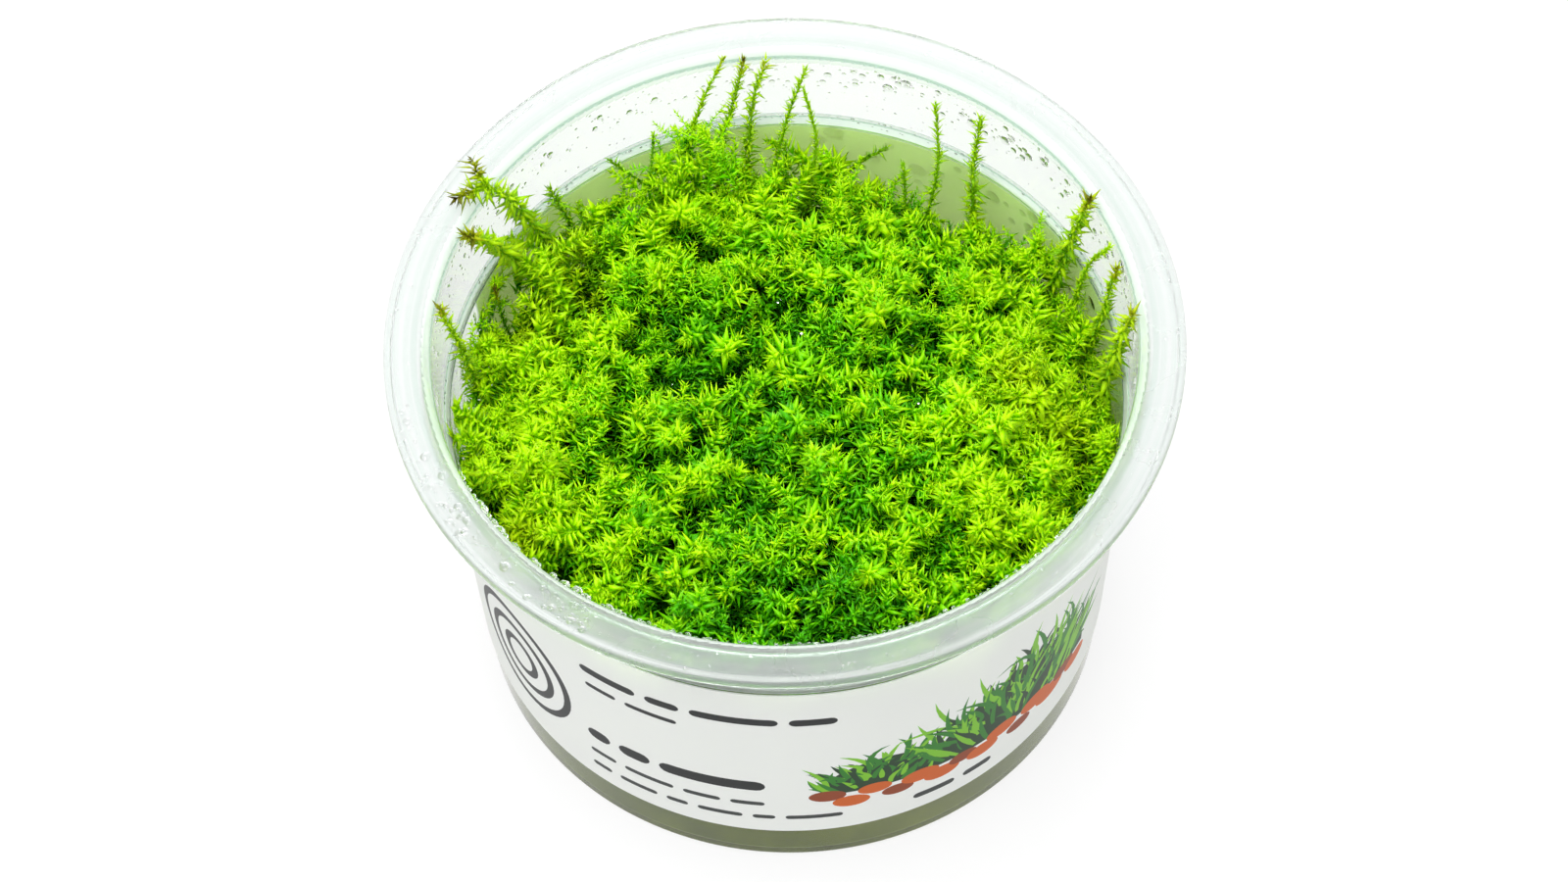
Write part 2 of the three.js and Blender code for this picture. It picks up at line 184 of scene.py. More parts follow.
def outer_radius(height):
    """The radius of the cup's lower wall outside at a height."""
    return BASE_RADIUS + (STEP_RADIUS - BASE_RADIUS) * (height - BASE_CORNER) / (STEP_HEIGHT - BASE_CORNER)


def smooth_top(x, y):
    """The height of the moss without its rises and hollows."""
    share = np.hypot(x, y) / CLUMP_RADIUS
    fall = np.maximum(0, y / CLUMP_RADIUS) ** 3
    return CLUMP_CROWN - (CLUMP_CROWN - CLUMP_EDGE) * share**2.5 - CLUMP_BACK_FALL * fall


def moss_top(x, y):
    height = smooth_top(x, y)
    for centre_x, centre_y, rise, spread in RELIEF:
        height = height + rise * np.exp(-(((x - centre_x) ** 2 + (y - centre_y) ** 2) / spread**2))
    return height


def at_moss_top(x, y, rise):
    """Points above the moss's top, or below it where the rise is negative."""
    return np.stack([x, y, moss_top(x, y) + rise], 1)


def olive_share(x, y):
    share = np.zeros_like(x)
    for centre_x, centre_y, spread, strength in OLIVE_PATCHES:
        near = np.exp(-(((x - centre_x) ** 2 + (y - centre_y) ** 2) / spread**2))
        share = np.maximum(share, strength * near)
    return share


# Pieces
def add_piece(name, points, faces, material, slot, nodes=(), values=None):
    """Adds a mesh given in millimetres. It rides on the root body and stands for the CAD nodes named."""
    mesh = bpy.data.meshes.new(name)
    mesh.vertices.add(len(points))
    mesh.vertices.foreach_set("co", (np.asarray(points, float) * MM).ravel())
    mesh.loops.add(faces.size)
    mesh.loops.foreach_set("vertex_index", faces.ravel())
    mesh.polygons.add(len(faces))
    mesh.polygons.foreach_set("loop_start", np.arange(0, faces.size, 3))
    mesh.update(calc_edges=True)
    for key, numbers in (values or {}).items():
        attribute = mesh.attributes.new(key, "FLOAT", "POINT")
        attribute.data.foreach_set("value", np.asarray(numbers, np.float32))
    mesh.materials.append(material)
    piece = bpy.data.objects.new(name, mesh)
    bpy.context.scene.collection.objects.link(piece)
    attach(piece, "root")
    if nodes:
        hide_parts(*nodes)
    return piece


def weld(piece):
    """Joins points that lie on each other, and drops the faces that vanish with them."""
    shape = bmesh.new()
    shape.from_mesh(piece.data)
    bmesh.ops.remove_doubles(shape, verts=shape.verts, dist=1e-6)
    bmesh.ops.recalc_face_normals(shape, faces=shape.faces)
    shape.to_mesh(piece.data)
    shape.free()


def smooth(piece, angle):
    """Shades the piece smooth, apart from edges sharper than an angle in degrees."""
    piece.data.shade_smooth()
    piece.data.set_sharp_from_angle(angle=math.radians(angle))


def rounded(outline, reach=0.35, steps=3):
    """The outline with its corners rounded, apart from its two ends on the axis."""
    points = [outline[0]]
    for before, corner, after in zip(outline, outline[1:], outline[2:]):
        before, corner, after = (Vector(p) for p in (before, corner, after))
        start = corner + (before - corner) * min(0.45, reach / (before - corner).length)
        end = corner + (after - corner) * min(0.45, reach / (after - corner).length)
        for step in range(steps + 1):
            share = step / steps
            points.append(tuple(start.lerp(corner, share).lerp(corner.lerp(end, share), share)))
    points.append(outline[-1])
    return points


def grid_faces(rows, columns, close_rows=False, close_columns=False):
    """Triangles between the points of a grid, which may close on itself either way."""
    row = np.arange(rows if close_rows else rows - 1)
    column = np.arange(columns if close_columns else columns - 1)
    row, column = (a.ravel() for a in np.meshgrid(row, column, indexing="ij"))
    next_row, next_column = (row + 1) % rows, (column + 1) % columns
    a, b = row * columns + column, row * columns + next_column
    c, d = next_row * columns + next_column, next_row * columns + column
    return np.concatenate([np.stack([a, b, c], 1), np.stack([a, c, d], 1)])


def copies(faces, points_each, count):
    """The triangles of one shape for that many copies of it."""
    return (np.arange(count)[:, None, None] * points_each + faces).reshape(-1, 3)


def lathe(outline, turns=192):
    """Points and triangles of an outline turned round the upright axis. The outline ends on the axis."""
    radius, height = np.array(outline, float).T
    angle = np.linspace(0, 2 * math.pi, turns, endpoint=False)[:, None]
    level = np.broadcast_to(height, (turns, len(radius)))
    points = np.stack([radius * np.cos(angle), radius * np.sin(angle), level], -1)
    return points.reshape(-1, 3), grid_faces(turns, len(radius), close_rows=True)


# Materials
class Shader:
    """One material, with nodes that are added and linked by name."""

    def __init__(self, name):
        self.material = bpy.data.materials.new(name)
        self.material.use_nodes = True
        self.tree = self.material.node_tree
        self.tree.nodes.clear()

    def add(self, kind, inputs=None, **settings):
        node = self.tree.nodes.new("ShaderNode" + kind)
        for name, value in settings.items():
            setattr(node, name, value)
        for name, value in (inputs or {}).items():
            if isinstance(value, bpy.types.NodeSocket):
                self.tree.links.new(value, node.inputs[name])
            else:
                node.inputs[name].default_value = value
        return node

    def value(self, name):
        return self.add("Attribute", attribute_name=name).outputs["Fac"]

    def math(self, operation, first, second, clamp=False):
        node = self.add("Math", {0: first, 1: second}, operation=operation, use_clamp=clamp)
        return node.outputs[0]

    def ramp(self, factor, stops):
        node = self.add("ValToRGB", {"Fac": factor})
        elements = node.color_ramp.elements
        while len(elements) < len(stops):
            elements.new(0.5)
        for element, (position, colour) in zip(elements, stops):
            element.position, element.color = position, colour
        return node.outputs["Color"]

    def mix(self, factor, first, second):
        return self.add("Mix", {0: factor, 6: first, 7: second}, data_type="RGBA").outputs[2]

    def noise(self, scale, detail, roughness=0.5):
        place = self.add("NewGeometry").outputs["Position"]
        inputs = {"Vector": place, "Scale": scale, "Detail": detail, "Roughness": roughness}
        return self.add("TexNoise", inputs).outputs["Fac"]

    def bump(self, height, strength, distance):
        inputs = {"Height": height, "Strength": strength, "Distance": distance}
        return self.add("Bump", inputs).outputs["Normal"]

    def finish(self, inputs, through=0):
        """Ends the material with one surface. Where it is thin, a share of the light comes through it."""
        surface = self.add("BsdfPrincipled", inputs).outputs[0]
        if through:
            behind = self.add("BsdfTranslucent", {"Color": inputs["Base Color"]}).outputs[0]
            surface = self.add("MixShader", {0: through, 1: surface, 2: behind}).outputs[0]
        self.add("OutputMaterial", {"Surface": surface})
        return self.material


def plastic_material(name, clear, base, haze_range, streak=None):
    """Thin hazy plastic. Its clear share lets light through, and a streak colour runs round it in rings."""
    shader = Shader(name)
    if streak:
        level = {0: shader.add("NewGeometry").outputs["Position"], 1: (1, 1, 0)}
        level = shader.add("VectorMath", level, operation="MULTIPLY").outputs["Vector"]
        radius = shader.add("VectorMath", {0: level}, operation="LENGTH").outputs["Value"]
        rings = shader.add("TexNoise", {"W": radius, "Scale": 1200.0}, noise_dimensions="1D").outputs["Fac"]
        base = shader.ramp(rings, [(0.38, streak), (0.6, base)])
    ripple = shader.bump(shader.noise(260, 2), 0.06, 0.0004)
    smoother, rougher = haze_range
    haze = shader.ramp(shader.noise(90, 4), [(0.35, grey(smoother)), (0.75, grey(rougher))])
    inputs = {
        "Base Color": base,
        "Roughness": haze,
        "IOR": 1.3,
        "Transmission Weight": clear,
        "Normal": ripple,
    }
    return shader.finish(inputs)


def water_material():
    """Clear water of the condensation."""
    shader = Shader("water")
    inputs = {
        "Base Color": (1, 1, 1, 1),
        "Roughness": 0.0,
        "IOR": 1.333,
        "Transmission Weight": 1.0,
        "Normal": shader.bump(shader.noise(900, 1), 0.05, 0.0001),
    }
    return shader.finish(inputs)


def gel_material():
    """Cloudy olive nutrient gel, with faint darker streaks of roots and crumbs in it."""
    shader = Shader("cloudy_gel")
    stops = [(0.25, srgb(70, 82, 2)), (0.5, srgb(96, 108, 8)), (0.8, srgb(116, 128, 22))]
    cloud = shader.ramp(shader.noise(70, 5, 0.6), stops)
    inputs = {
        "Base Color": cloud,
        "Roughness": 0.3,
        "IOR": 1.34,
        "Specular IOR Level": 0.1,
        "Subsurface Weight": 0.25,
        "Subsurface Radius": (1.0, 1.0, 0.5),
        "Subsurface Scale": 0.002,
        "Normal": shader.bump(shader.noise(160, 2), 0.15, 0.0005),
    }
    return shader.finish(inputs)


LEAF_SEE_THROUGH = 0.42
FILM_SEE_THROUGH = 0.32
INSIDE_SEE_THROUGH = 0.72


def leaf_material(name, stops):
    """Thin wet leaves: light passes through them, they darken down the clump, partly as painted shade, and
    they dry to brown.
    """
    shader = Shader(name)
    depth, along, tint, dry = (shader.value(key) for key in ("depth", "along", "tint", "dry"))
    patchy = shader.math("MULTIPLY", shader.math("SUBTRACT", shader.noise(420, 2), 0.5), 0.22)
    # The depth value darkens the leaves down the clump, partly as painted shade.
    age_and_shade = shader.math("ADD", depth, shader.math("MULTIPLY", shader.math("SUBTRACT", tint, 0.5), 0.22))
    age_and_shade = shader.math("SUBTRACT", age_and_shade, shader.math("MULTIPLY", along, 0.07))
    age_and_shade = shader.math("ADD", age_and_shade, patchy, clamp=True)
    colour = shader.ramp(age_and_shade, stops)
    dried = shader.ramp(dry, [
        (0, srgb(204, 234, 0)), (0.25, srgb(196, 212, 0)), (0.5, srgb(140, 148, 4)), (0.75, srgb(92, 74, 8)),
        (1, srgb(38, 18, 6)),
    ])
    drying = shader.ramp(dry, [(0.03, grey(0)), (0.35, grey(1))])
    colour = shader.mix(drying, colour, dried)
    roughness = shader.ramp(shader.noise(1500, 1), [(0.3, grey(0.22)), (0.7, grey(0.5))])
    inputs = {"Base Color": colour, "Roughness": roughness, "IOR": 1.4, "Specular IOR Level": 0.35}
    return shader.finish(inputs, LEAF_SEE_THROUGH)


def core_material():
    """The inside of the clump, seen only between its shoots; its dark green is painted shade of the deep
    moss.
    """
    shader = Shader("moss_core")
    colour = shader.ramp(shader.noise(380, 4, 0.6), [(0.3, srgb(12, 52, 0)), (0.7, srgb(46, 108, 2))])
    inputs = {"Base Color": colour, "Roughness": 0.9, "Specular IOR Level": 0.02}
    inputs["Normal"] = shader.bump(shader.noise(900, 3), 0.8, 0.001)
    return shader.finish(inputs)


def film_material(name, colour, see_through):
    """Printed or plain label film: satin, with a very faint unevenness, and lit through from behind."""
    shader = Shader(name)
    dark = tuple(0.97 * x for x in colour[:3]) + (1,)
    tone = shader.mix(shader.noise(45, 4), dark, colour)
    inputs = {
        "Base Color": tone,
        "Roughness": 0.32,
        "Specular IOR Level": 0.25,
        "Normal": shader.bump(shader.noise(700, 2), 0.04, 0.0002),
    }
    return shader.finish(inputs, see_through)


# Each plastic's clear share, colour, range of haze and streak colour. The green of the edge plastic and of
# the milky streaks is painted reflection of the moss.
PLASTICS = {
    "clear": (0.99, (0.95, 0.97, 0.955, 1), (0.04, 0.08)),
    "milky": (0.86, (0.78, 0.805, 0.795, 1), (0.22, 0.32), (0.69, 0.755, 0.72, 1)),
    "frosted": (0.65, (0.8, 0.88, 0.82, 1), (0.1, 0.2)),
    "misted": (0.9, (0.94, 0.965, 0.95, 1), (0.06, 0.14)),
    "edge": (0.8, (0.42, 0.6, 0.5, 1), (0.1, 0.2)),
}
plastics = [plastic_material(f"{name}_plastic", *looks) for name, looks in PLASTICS.items()]
CLEAR, MILKY, FROSTED, MISTED, EDGE = range(len(PLASTICS))
water = water_material()
moss_green = leaf_material("moss_leaves", [
    (0, srgb(208, 255, 4)), (0.22, srgb(168, 246, 0)), (0.46, srgb(96, 210, 0)), (0.74, srgb(40, 140, 0)),
    (1, srgb(8, 66, 0)),
])
shoot_green = leaf_material("shoot_leaves", [
    (0, srgb(200, 240, 8)), (0.35, srgb(152, 216, 2)), (0.7, srgb(78, 164, 0)), (1, srgb(24, 90, 0)),
])

# Cup
cup = add_piece("clear_cup", *lathe(rounded(CUP_OUTLINE)), plastics[CLEAR], "cup_plastic", ["cup"])
weld(cup)
smooth(cup, 50)
for plastic in plastics[1:]:
    cup.data.materials.append(plastic)
FLANGE_BOTTOM = 57.8
SHOULDER_RADIUS = 45.2
STEP_BOTTOM = 45.9
STEP_TOP = 47.5
# Bands coloured green as painted reflection of the moss in the bends.
EDGE_BANDS = ((46.25, 46.5), (47.2, 47.4), (58.5, 59.0))
INSIDE_FACE_DEPTH = 0.2
MIST_BOTTOM = GEL_TOP + 1


def plastic_at(height, radius):
    """Which plastic a face has: milky brim, frosted bends with green edges, misted inside above the gel. The
    green of the edges is painted reflection of the moss.
    """
    if radius < SHOULDER_RADIUS and any(low < height < high for low, high in EDGE_BANDS):
        return EDGE
    if height > FLANGE_BOTTOM:
        return FROSTED if radius < SHOULDER_RADIUS else MILKY
    if STEP_BOTTOM < height < STEP_TOP:
        return FROSTED
    is_inside = radius < inner_radius(height) + INSIDE_FACE_DEPTH
    return MISTED if is_inside and height > MIST_BOTTOM else CLEAR


for face in cup.data.polygons:
    face.material_index = plastic_at(face.center.z / MM, face.center.xy.length / MM)


# Gel, which wets the wall and the floor of the cup
WETTED = 0.02
FLOOR = 1.6 - WETTED
RING_FLOOR = 0.8 - WETTED
WALL_FOOT = 1.3
CREEP_TOP = GEL_TOP + 0.6
CREEP_WIDTH = 1.2


def gel_side(height):
    return float(inner_radius(height)) + WETTED


gel_outline = [
    (0, FLOOR), (30.9, FLOOR), (32.4, RING_FLOOR), (39.8, RING_FLOOR), (gel_side(WALL_FOOT), WALL_FOOT),
    (gel_side(CREEP_TOP), CREEP_TOP), (gel_side(GEL_TOP) - CREEP_WIDTH, GEL_TOP), (0, GEL_TOP),
]
gel_shape = lathe(rounded(gel_outline, 0.2, 2))
gel = add_piece("nutrient_gel", *gel_shape, gel_material(), "nutrient_gel", ["gel"])
weld(gel)
smooth(gel, 50)

# Label, drawn flat in millimetres round the wall and up it, then wrapped
LABEL_MEAN_RADIUS = 42.4
DEGREE = math.radians(1) * LABEL_MEAN_RADIUS
FRONT = 270
label_start = (LABEL_GAP_END - FRONT) * DEGREE
label_end = (LABEL_GAP_START + 360 - FRONT) * DEGREE
PRINT_COLOURS = {
    "film": srgb(252, 253, 253),
    "print_dark": srgb(24, 28, 28),
    "print_grey": srgb(52, 58, 56),
    "print_pebble": srgb(216, 98, 0),
    "print_pebble_dark": srgb(150, 62, 2),
    "print_leaf_dark": srgb(6, 58, 14),
    "print_leaf": srgb(38, 130, 18),
    "print_leaf_light": srgb(130, 202, 26),
    "film_inside": srgb(224, 248, 154),
}


def ellipse(centre_x, centre_y, radius_x, radius_y, corners=28):
    """Points of an upright ellipse."""
    turns = np.arange(corners) * 2 * math.pi / corners
    return [(centre_x + radius_x * math.cos(t), centre_y + radius_y * math.sin(t)) for t in turns]


def dash(left, right, height, thickness):
    """A bar with rounded ends."""
    half = thickness / 2
    turns = [math.radians(a) for a in range(-90, 91, 30)]
    ends = ((right - half, 1), (left + half, -1))
    return [
        (centre + way * half * math.cos(turn), height + way * half * math.sin(turn))
        for centre, way in ends
        for turn in turns
    ]


def dashes(colour, left, height, thickness, lengths, gap=1.3):
    """A row of bars in one colour."""
    for length in lengths:
        yield colour, dash(left, left + length, height, thickness)
        left += length + gap


def blade(foot, lean, length, width, bend, steps=5):
    """A narrow pointed blade that bends as it rises. Angles are in radians from upright."""
    line, x, y = [], *foot
    for step in range(steps + 1):
        half = width / 2 * math.sin(math.pi * (0.22 + 0.78 * step / steps)) + 0.01
        angle = lean + bend * step / steps
        line.append(((x - half * math.cos(angle), y + half * math.sin(angle)),
                     (x + half * math.cos(angle), y - half * math.sin(angle))))
        x += math.sin(angle) * length / steps
        y += math.cos(angle) * length / steps
    return [right for _, right in line] + [left for left, _ in reversed(line)]


def mound(rng, centre, base, half_width, height, blades):
    """A cushion of curved blades, back to front, the back ones standing out of its top."""
    hill = ellipse(centre, base, half_width, height * 0.6, 48)
    yield "print_leaf_dark", [point for point in hill if point[1] >= base - 0.01]
    for number in range(blades):
        nearness = number / blades
        fan = rng.uniform(-1, 1)
        rise = height * 0.56 * (1 - nearness) * math.sqrt(1 - 0.85 * fan * fan)
        foot = (centre + half_width * 0.9 * fan, base + rise)
        tall = number % 4 == 0
        shades = ["print_leaf_dark", "print_leaf", "print_leaf_light"]
        if tall:
            shades = ["print_leaf_light", "print_leaf"]
        lean = 0.7 * fan + rng.normal(0, 0.25)
        length = rng.uniform(0.34, 0.56) * height if tall else rng.uniform(0.18, 0.36) * height
        yield rng.choice(shades), blade(foot, lean, length, 0.8, rng.normal(0, 0.8))


def label_shapes():
    """Everything printed on the label, as colour name and points, back to front."""
    rng = np.random.default_rng(5)
    for radius in (9.6, 6.6, 3.6):
        yield "print_dark", ellipse(-41, 25, radius, radius * 1.15, 48)
        yield "film", ellipse(-41, 25, radius - 1.2, radius * 1.15 - 1.2, 48)
    yield from dashes("print_dark", -28.5, 38.3, 1.7, (8, 4.5, 11, 6))
    yield from dashes("print_dark", -28, 34.3, 1.0, (4.5, 7))
    yield from dashes("print_dark", -29, 20.3, 2.5, (3.5, 4.5, 14))
    yield from dashes("print_grey", -29, 15.3, 1.0, (4, 7, 5, 4.5))
    yield from dashes("print_grey", -29, 11.6, 1.0, (3, 5.5, 3, 6, 3, 7.5))
    yield from dashes("print_grey", 15, 11.2, 1.3, (6, 4.5))
    yield from mound(rng, 11, 17.5, 8.5, 13, 90)
    yield from mound(rng, 31.5, 17.5, 14, 22, 190)
    for number, x in enumerate(np.arange(3.5, 46, 3.1)):
        size = rng.uniform(2.0, 3.0)
        colour = "print_pebble" if number % 3 else "print_pebble_dark"
        yield colour, ellipse(x, 17 - 1.7 * (number % 2) + rng.uniform(-0.4, 0.4), size, size * 0.6)


printed = list(label_shapes())


def printed_sheet():
    """The label's outer face: flat points, triangles, and the number of the shape that colours each one."""
    corners = [(label_start, LABEL_BOTTOM), (label_end, LABEL_BOTTOM)]
    corners += [(label_end, LABEL_TOP), (label_start, LABEL_TOP)]
    rings, lines = [[0, 1, 2, 3]], []
    for _, outline in printed:
        rings.append(list(range(len(corners), len(corners) + len(outline))))
        corners += outline
    for x in np.arange(label_start, label_end, 1.5 * DEGREE)[1:]:
        lines.append((len(corners), len(corners) + 1))
        corners += [(x, LABEL_BOTTOM), (x, LABEL_TOP)]
    flat, _, triangles, _, _, owners = delaunay_2d_cdt([Vector(p) for p in corners], lines, rings, 0, 1e-5)
    return np.array([tuple(p) for p in flat]), np.array(triangles), [max(owner) for owner in owners]


def wrapped(flat, standoff):
    """Flat label points laid round the wall, that far off it."""
    angle = np.radians(FRONT) + flat[:, 0] / LABEL_MEAN_RADIUS
    radius = outer_radius(flat[:, 1]) + standoff
    return level_way(angle) * radius[:, None] + UP * flat[:, 1:]


flat, triangles, owners = printed_sheet()
outside = wrapped(flat, LABEL_STANDOFF + LABEL_THICKNESS)
BORDER_STEPS = 224
border_x = np.linspace(label_start, label_end, BORDER_STEPS)
border = np.array([(x, z) for x in border_x for z in (LABEL_BOTTOM, LABEL_TOP)])
inside = wrapped(border, LABEL_STANDOFF)
edge = wrapped(border, LABEL_STANDOFF + LABEL_THICKNESS)
first_inside = len(outside)
first_edge = first_inside + len(inside)
inside_faces = grid_faces(BORDER_STEPS, 2)[:, ::-1] + first_inside
edge_faces = []
along = np.arange(BORDER_STEPS - 1) * 2
last = len(border) - 1
for start, finish in ((along, along + 2), (along + 1, along + 3), ([0], [1]), ([last - 1], [last])):
    start, finish = np.array(start), np.array(finish)
    inner, outer = first_inside + start, first_edge + start
    next_inner, next_outer = first_inside + finish, first_edge + finish
    edge_faces += [np.stack([inner, outer, next_outer], 1), np.stack([inner, next_outer, next_inner], 1)]
edge_faces = np.concatenate(edge_faces)
label = add_piece(
    "wrap_label",
    np.concatenate([outside, inside, edge]),
    np.concatenate([triangles, inside_faces, edge_faces]),
    film_material("film", PRINT_COLOURS["film"], FILM_SEE_THROUGH),
    "label_film",
    ["label"],
)
colour_names = list(PRINT_COLOURS)
for colour_name in colour_names[1:]:
    see_through = INSIDE_SEE_THROUGH if colour_name == "film_inside" else FILM_SEE_THROUGH
    label.data.materials.append(film_material(colour_name, PRINT_COLOURS[colour_name], see_through))
shape_colours = [0] + [colour_names.index(name) for name, _ in printed]
indices = [shape_colours[owner] for owner in owners]
indices += [colour_names.index("film_inside")] * len(inside_faces) + [0] * len(edge_faces)
label.data.polygons.foreach_set("material_index", indices)
weld(label)
smooth(label, 30)


# Moss leaves and stems
LEAF_FACES = np.array([(0, 1, 2), (0, 3, 1), (0, 2, 3), (1, 3, 2)])
WIDEST = 0.26
LEAF_ALONG = np.array([0.0, WIDEST, WIDEST, 1.0])
LEAF_CORNERS = 4
LEAF_BREADTH = 0.29
STEM_RADIUS = 0.13
STEM_STEPS = 3


def leaves(base, axis, outward, length, width, spread, recurve):
    """Closed lance-shaped leaves with a keel, four points and four triangles each. Spread is off the stem."""
    side = np.cross(axis, outward)
    upward = turned(spread, outward, -axis)
    middle = base + turned(spread, axis, outward) * (length * WIDEST)[:, None]
    tip = middle + turned(spread + recurve, axis, outward) * (length * (1 - WIDEST))[:, None]
    half, lift = (width * 0.5)[:, None], (width * 0.3)[:, None]
    rim = middle - upward * lift
    points = np.stack([base, rim + side * half, rim - side * half, tip], 1)
    return points.reshape(-1, 3), copies(LEAF_FACES, LEAF_CORNERS, len(base))


def stems(paths, across, thick):
    """Closed three-sided stems. Each path is a row of points; across is each stem's steady side direction."""
    count, steps = paths.shape[:2]
    direction = unit(np.gradient(paths, axis=1))
    first = unit(np.cross(direction, across[:, None]))
    second = np.cross(direction, first)
    angle = np.arange(3) * 2 * math.pi / 3
    ring = turned(angle, first[:, :, None], second[:, :, None])
    points = paths[:, :, None] + ring * thick[:, :, None, None]
    one = grid_faces(steps, 3, close_columns=True)
    last = 3 * (steps - 1)
    one = np.concatenate([one, [[0, 2, 1], [last, last + 1, last + 2]]])
    return points.reshape(-1, 3), copies(one, 3 * steps, count)


def curved(start, bend, end, share):
    """Points and directions of curved stems, one row of shares for each stem."""
    share = share[..., None]
    start, bend, end = start[:, None], bend[:, None], end[:, None]
    points = start * (1 - share) ** 2 + 2 * bend * share * (1 - share) + end * share**2
    return points, unit((bend - start) * (1 - share) + (end - bend) * share)


def foliage(rng, points, axis, from_tip, across, length, spread, breadth):
    """Leaves in a spiral on stems given as rows of points. from_tip is in millimetres of stem."""
    count, per_stem = from_tip.shape
    first = unit(np.cross(axis, across[:, None]))
    second = np.cross(axis, first)
    turn = rng.uniform(0, 6.28, (count, 1)) + np.arange(per_stem) * GOLDEN_ANGLE
    turn = turn + rng.normal(0, 0.25, from_tip.shape)
    outward = turned(turn, first, second)
    length = length * rng.uniform(0.7, 1.25, from_tip.shape)
    spread = np.radians(spread) + rng.normal(0, 0.17, from_tip.shape)
    recurve = np.radians(rng.normal(10, 18, from_tip.shape))
    base = points + outward * 0.1
    shape = (base, axis, outward, length, 0.06 + breadth * length, spread, recurve)
    return leaves(*(a.reshape(-1, *a.shape[2:]) for a in shape))


def per_point(on_leaves, on_rings):
    """A value for each point of the leaves and of the stems, from those of whole leaves and stem rings."""
    return np.concatenate([np.repeat(on_leaves, LEAF_CORNERS), np.repeat(on_rings, 3)])


def joined(parts):
    """Several sets of points and triangles as one."""
    points, faces, first = [], [], 0
    for part_points, part_faces, *_ in parts:
        points.append(part_points)
        faces.append(part_faces + first)
        first += len(part_points)
    return np.concatenate(points), np.concatenate(faces)


def joined_values(parts):
    """The values that colour several parts, as one."""
    return {key: np.concatenate([part[2][key] for part in parts]) for key in parts[0][2]}


def inside_cup(points, room):
    """Points moved in towards the axis where they would pass through the cup's wall, or come closer to it."""
    radius = np.hypot(points[:, 0], points[:, 1])
    limit = inner_radius(points[:, 2]) - room
    scale = np.minimum(1, limit / np.maximum(radius, 1e-6))
    return points * np.stack([scale, scale, np.ones_like(scale)], 1)


def grown(rng, start, bend, end, size, leaf_count, tint):
    """Leafy stems from start to end. Returns points, triangles and the values that colour them."""
    count = len(start)
    across = unit(np.cross(end - start, unit(rng.normal(size=(count, 3)))))
    share = np.linspace(1, 0, leaf_count) + rng.uniform(-0.3, 0.3, (count, leaf_count)) / leaf_count
    share = np.clip(share, 0, 1)
    long = np.linalg.norm(end - bend, axis=1) + np.linalg.norm(bend - start, axis=1)
    points, axis = curved(start, bend, end, share)
    from_tip = (1 - share) * long[:, None]
    length = size[:, None] * (0.5 + 0.5 * blend_step(0, 2.2, from_tip) - 0.15 * blend_step(4, 9, from_tip))
    spread = 20 + 28 * blend_step(0, 0.9, from_tip) + 14 * blend_step(0.9, 3.5, from_tip)
    leaf_points, leaf_faces = foliage(rng, points, axis, from_tip, across, length, spread, LEAF_BREADTH)
    stem_share = np.linspace(0, 1, STEM_STEPS) * np.ones((count, 1))
    stem_line, _ = curved(start, bend, end, stem_share)
    stem_points, stem_faces = stems(stem_line, across, STEM_RADIUS * (1.15 - 0.6 * stem_share))
    leaf_tint = np.repeat(tint, leaf_count) + rng.normal(0, 0.12, count * leaf_count)
    stem_from_tip = (1 - stem_share) * long[:, None]
    values = {
        "along": np.concatenate([np.tile(LEAF_ALONG, count * leaf_count), np.zeros(len(stem_points))]),
        "tint": per_point(leaf_tint, np.repeat(tint, STEM_STEPS)),
        "from_tip": per_point(from_tip, stem_from_tip),
    }
    points, faces = joined([(leaf_points, leaf_faces), (stem_points, stem_faces)])
    return inside_cup(points, 0.2), faces, values


# Moss clump: tufts, each one upright shoot with side shoots, and sprays that arch over them
TUFTS = 390
CUSHIONS = 110
SIDE_SHOOTS = 5
MAIN_LEAVES = 60
SIDE_LEAVES = 30
SPRAYS = 190
SPRAY_LEAVES = 66
UNDERGROWTH = 640
UNDER_LEAVES = 30
WINDOW_LEAVES = 50
MOSS_PIECES = 5
CUSHION_PULL = 0.3
SPRAY_REACH = 38

# How the moss darkens, in millimetres below its top and from a shoot's tip, and how much each counts. Below
# the top the darkening is painted shade; from a tip it is partly the leaves' age and partly painted shade.
OVER_TOP = 2.4
SHADE_DARK_AT = 6.5
TIP_DARK_AT = 4.5
SHADE_BELOW_SHARE = 0.39
TIP_SHARE = 0.48
# Side shoots and undergrowth are coloured as if this many millimetres further from a tip: painted shade.
SIDE_SHADE = 0.9


def laid_out(rng, count, jitter):
    """Places spread evenly over the clump's round top, each moved a little."""
    number = np.arange(count)
    radius = CLUMP_RADIUS * np.sqrt((number + 0.5) / count)
    angle = number * GOLDEN_ANGLE
    return level_way(angle)[:, :2] * radius[:, None] + rng.normal(0, jitter, (count, 2))


rng = np.random.default_rng(11)
cushion_place = laid_out(rng, CUSHIONS, 1.6)
cushion_vigour = rng.normal(0, 1, CUSHIONS)
cushion_tint = rng.uniform(0, 1, CUSHIONS)
cushion_way = rng.uniform(0, 2 * math.pi, CUSHIONS)
tuft_place = laid_out(rng, TUFTS, 1.1)
cushion = np.linalg.norm(tuft_place[:, None] - cushion_place, axis=2).argmin(1)
tuft_x, tuft_y = ((1 - CUSHION_PULL) * tuft_place + CUSHION_PULL * cushion_place[cushion]).T
tuft_tint = 0.7 * cushion_tint[cushion] + 0.3 * rng.uniform(0, 1, TUFTS)
tuft_vigour = 0.6 * cushion_vigour[cushion] + 0.75 * rng.normal(0, 1, TUFTS)
lean = np.radians(np.abs(rng.normal(34, 14, TUFTS)))
lean_way = cushion_way[cushion] + rng.normal(0, 0.9, TUFTS)
